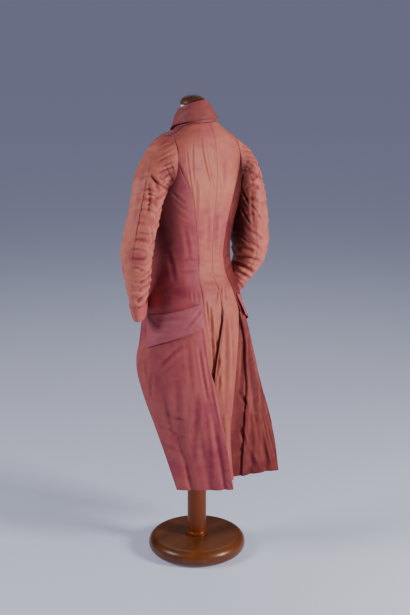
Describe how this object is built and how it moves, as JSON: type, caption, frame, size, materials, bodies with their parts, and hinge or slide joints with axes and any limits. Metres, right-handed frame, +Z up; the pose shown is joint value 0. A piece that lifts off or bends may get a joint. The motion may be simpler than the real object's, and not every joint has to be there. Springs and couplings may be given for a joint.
{
  "type": "coat on dress form stand",
  "caption": "Historic man's tail coat in rose silk taffeta with high turned-over collar, pocket flaps and pleated cutaway tails, on a limbless dress form with a turned wooden stand.",
  "frame": {"origin": "centre of the base's underside, on the post's axis", "axes": "+Z up the post, -Y towards the coat's front, +X towards the wearer's left"},
  "size_m": [0.5211, 0.2892, 1.3573],
  "materials": {
    "rose_taffeta": "satin",
    "rose_taffeta_flap": "satin",
    "form_cloth": "matte",
    "turned_wood": "satin",
    "dark_cap_wood": "satin"
  },
  "bodies": {
    "root": {"back_left": "rose_taffeta", "back_right": "rose_taffeta", "front_left": "rose_taffeta", "front_right": "rose_taffeta", "sleeve_left_upper": "rose_taffeta", "sleeve_left_under": "rose_taffeta", "sleeve_right_upper": "rose_taffeta", "sleeve_right_under": "rose_taffeta", "cuff_left": "rose_taffeta", "cuff_right": "rose_taffeta", "collar": "rose_taffeta", "flap_left": "rose_taffeta_flap", "flap_right": "rose_taffeta_flap", "form_torso": "form_cloth", "form_neck_cap": "dark_cap_wood", "stand_post": "turned_wood", "stand_base": "turned_wood"}
  },
  "joints": []
}
